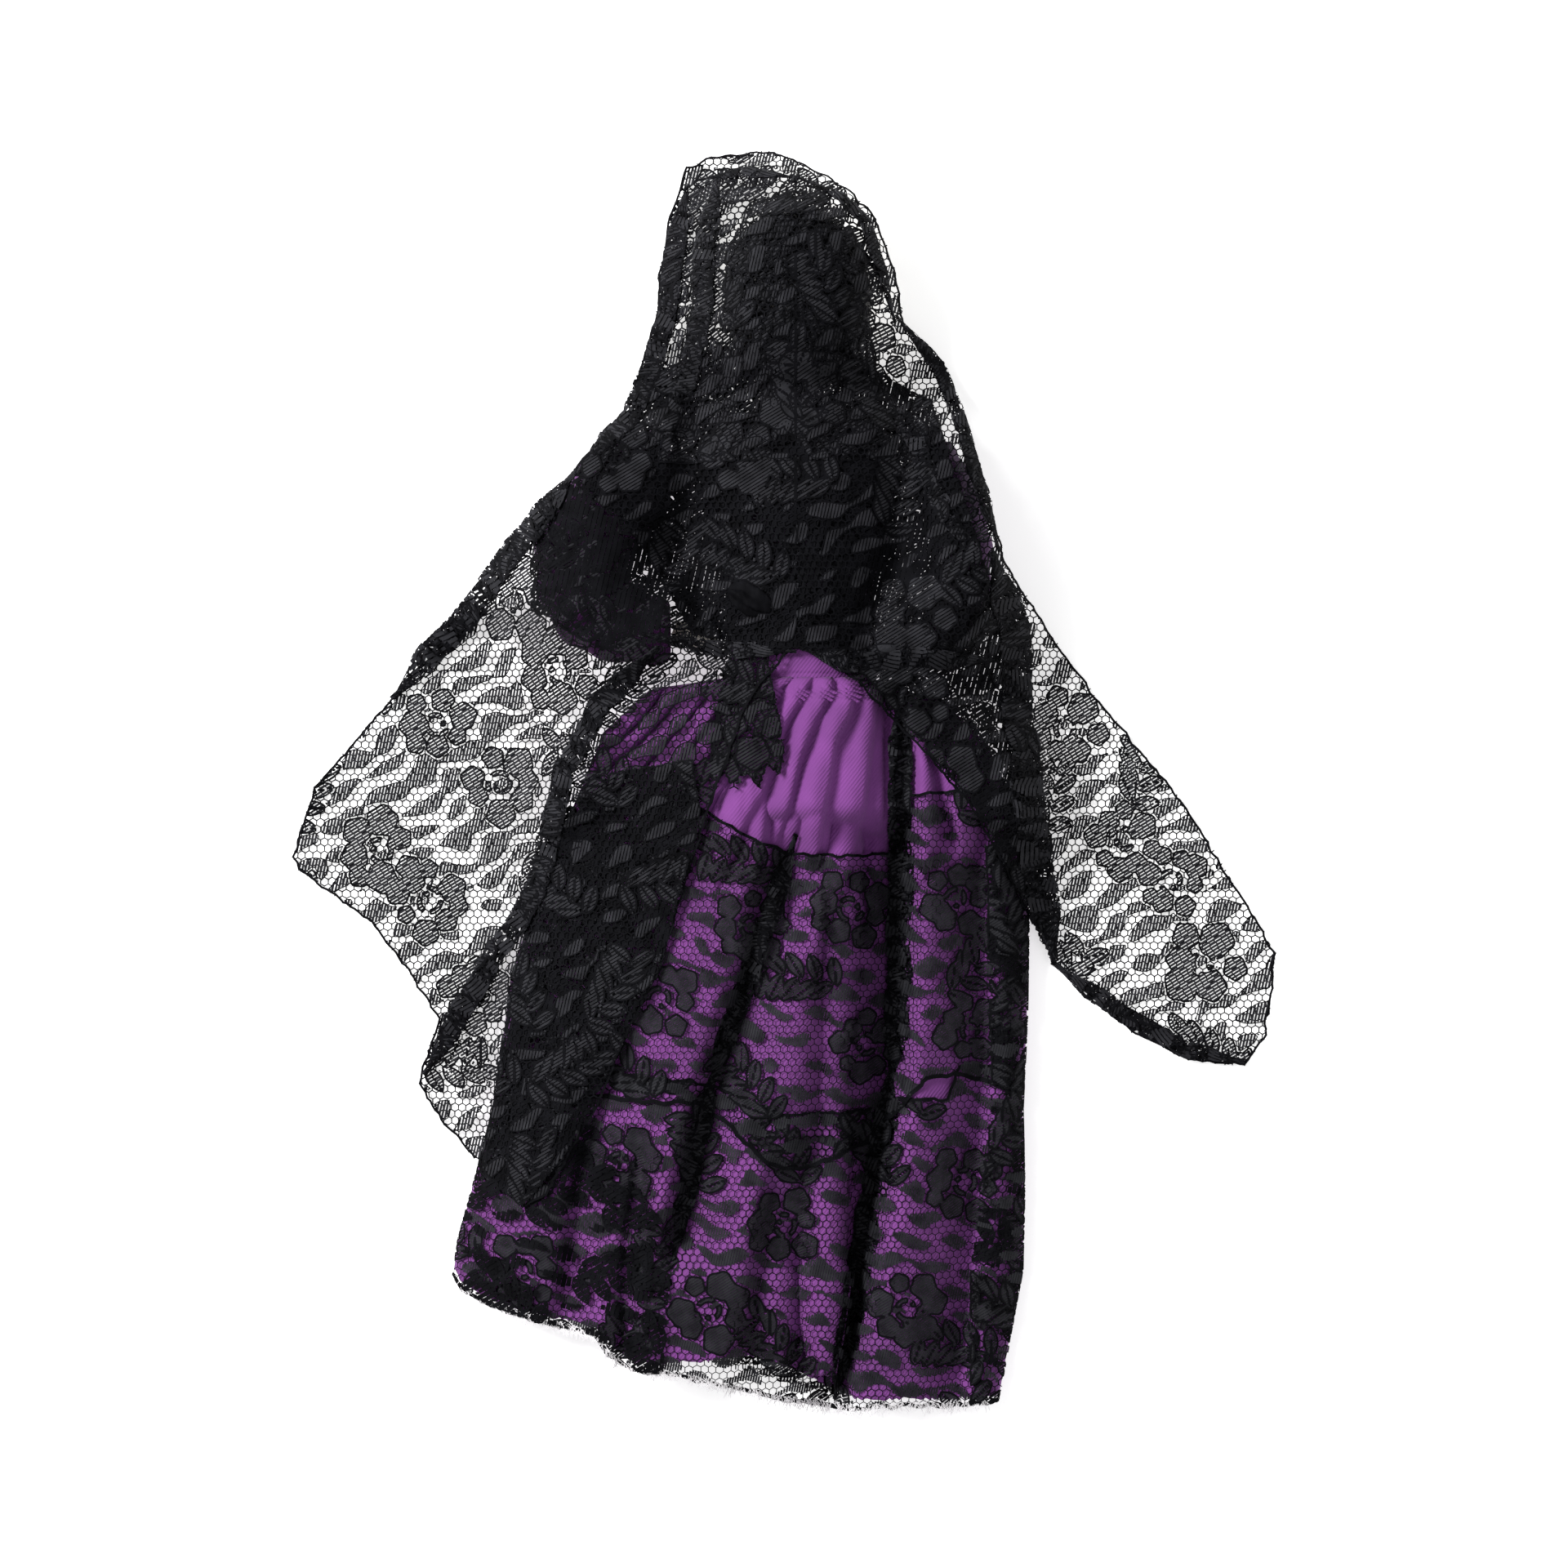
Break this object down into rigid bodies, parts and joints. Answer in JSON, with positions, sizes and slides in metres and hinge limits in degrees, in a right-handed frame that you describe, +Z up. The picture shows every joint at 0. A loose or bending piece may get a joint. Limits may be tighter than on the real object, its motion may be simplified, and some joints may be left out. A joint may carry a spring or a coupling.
{
  "type": "dressed papier-mache doll",
  "caption": "Dressed papier-mache skeleton lady lying on her front, with a gathered skirt, lace flounces, a sash, strung arms and a wide lace veil.",
  "frame": {"origin": "centre of the overall box, on the flat surface the figure lies on", "axes": "+Y from the feet to the crown, +Z up out of the surface (the figure's back), +X to the side of its right arm as seen from above"},
  "size_m": [0.2432, 0.3112, 0.0387],
  "materials": {
    "papier_mache": "matte",
    "painted_papier_mache": "satin",
    "boot_paint": "satin",
    "hair": "matte",
    "wood": "matte",
    "wire": "satin",
    "purple_cotton": "matte",
    "black_lace": "matte"
  },
  "bodies": {
    "figure": {"spine_dowel": "wood", "hip_block": "wood", "torso_front": "papier_mache", "torso_back": "papier_mache", "shoulder_wire": "wire", "left_leg": "papier_mache", "right_leg": "papier_mache", "left_boot": "boot_paint", "right_boot": "boot_paint", "bodice_front": "purple_cotton", "bodice_back": "purple_cotton", "waistband": "purple_cotton", "skirt_front": "purple_cotton", "skirt_back": "purple_cotton", "upper_lace_front": "black_lace", "upper_lace_back": "black_lace", "lower_lace_front": "black_lace", "lower_lace_back": "black_lace", "waist_sash": "black_lace", "sash_knot": "black_lace", "sash_tail": "black_lace", "lace_veil": "black_lace"},
    "head": {"skull_face": "painted_papier_mache", "skull_back": "painted_papier_mache", "hair_cap": "hair"},
    "left_arm": {"left_arm": "papier_mache", "left_hand": "painted_papier_mache", "left_sleeve": "purple_cotton"},
    "right_arm": {"right_arm": "papier_mache", "right_hand": "painted_papier_mache", "right_sleeve": "purple_cotton"}
  },
  "joints": [
    {"name": "neck_swivel", "type": "hinge", "parent": "figure", "child": "head", "pos_m": [0.0035, 0.098, 0.018], "axis": [0, 1, 0], "range_deg": [-20, 20]},
    {"name": "left_shoulder", "type": "hinge", "parent": "figure", "child": "left_arm", "pos_m": [-0.0263, 0.077, 0.018], "axis": [-1, 0, 0], "range_deg": [-10, 8]},
    {"name": "right_shoulder", "type": "hinge", "parent": "figure", "child": "right_arm", "pos_m": [0.0333, 0.077, 0.018], "axis": [-1, 0, 0], "range_deg": [-10, 8]}
  ]
}
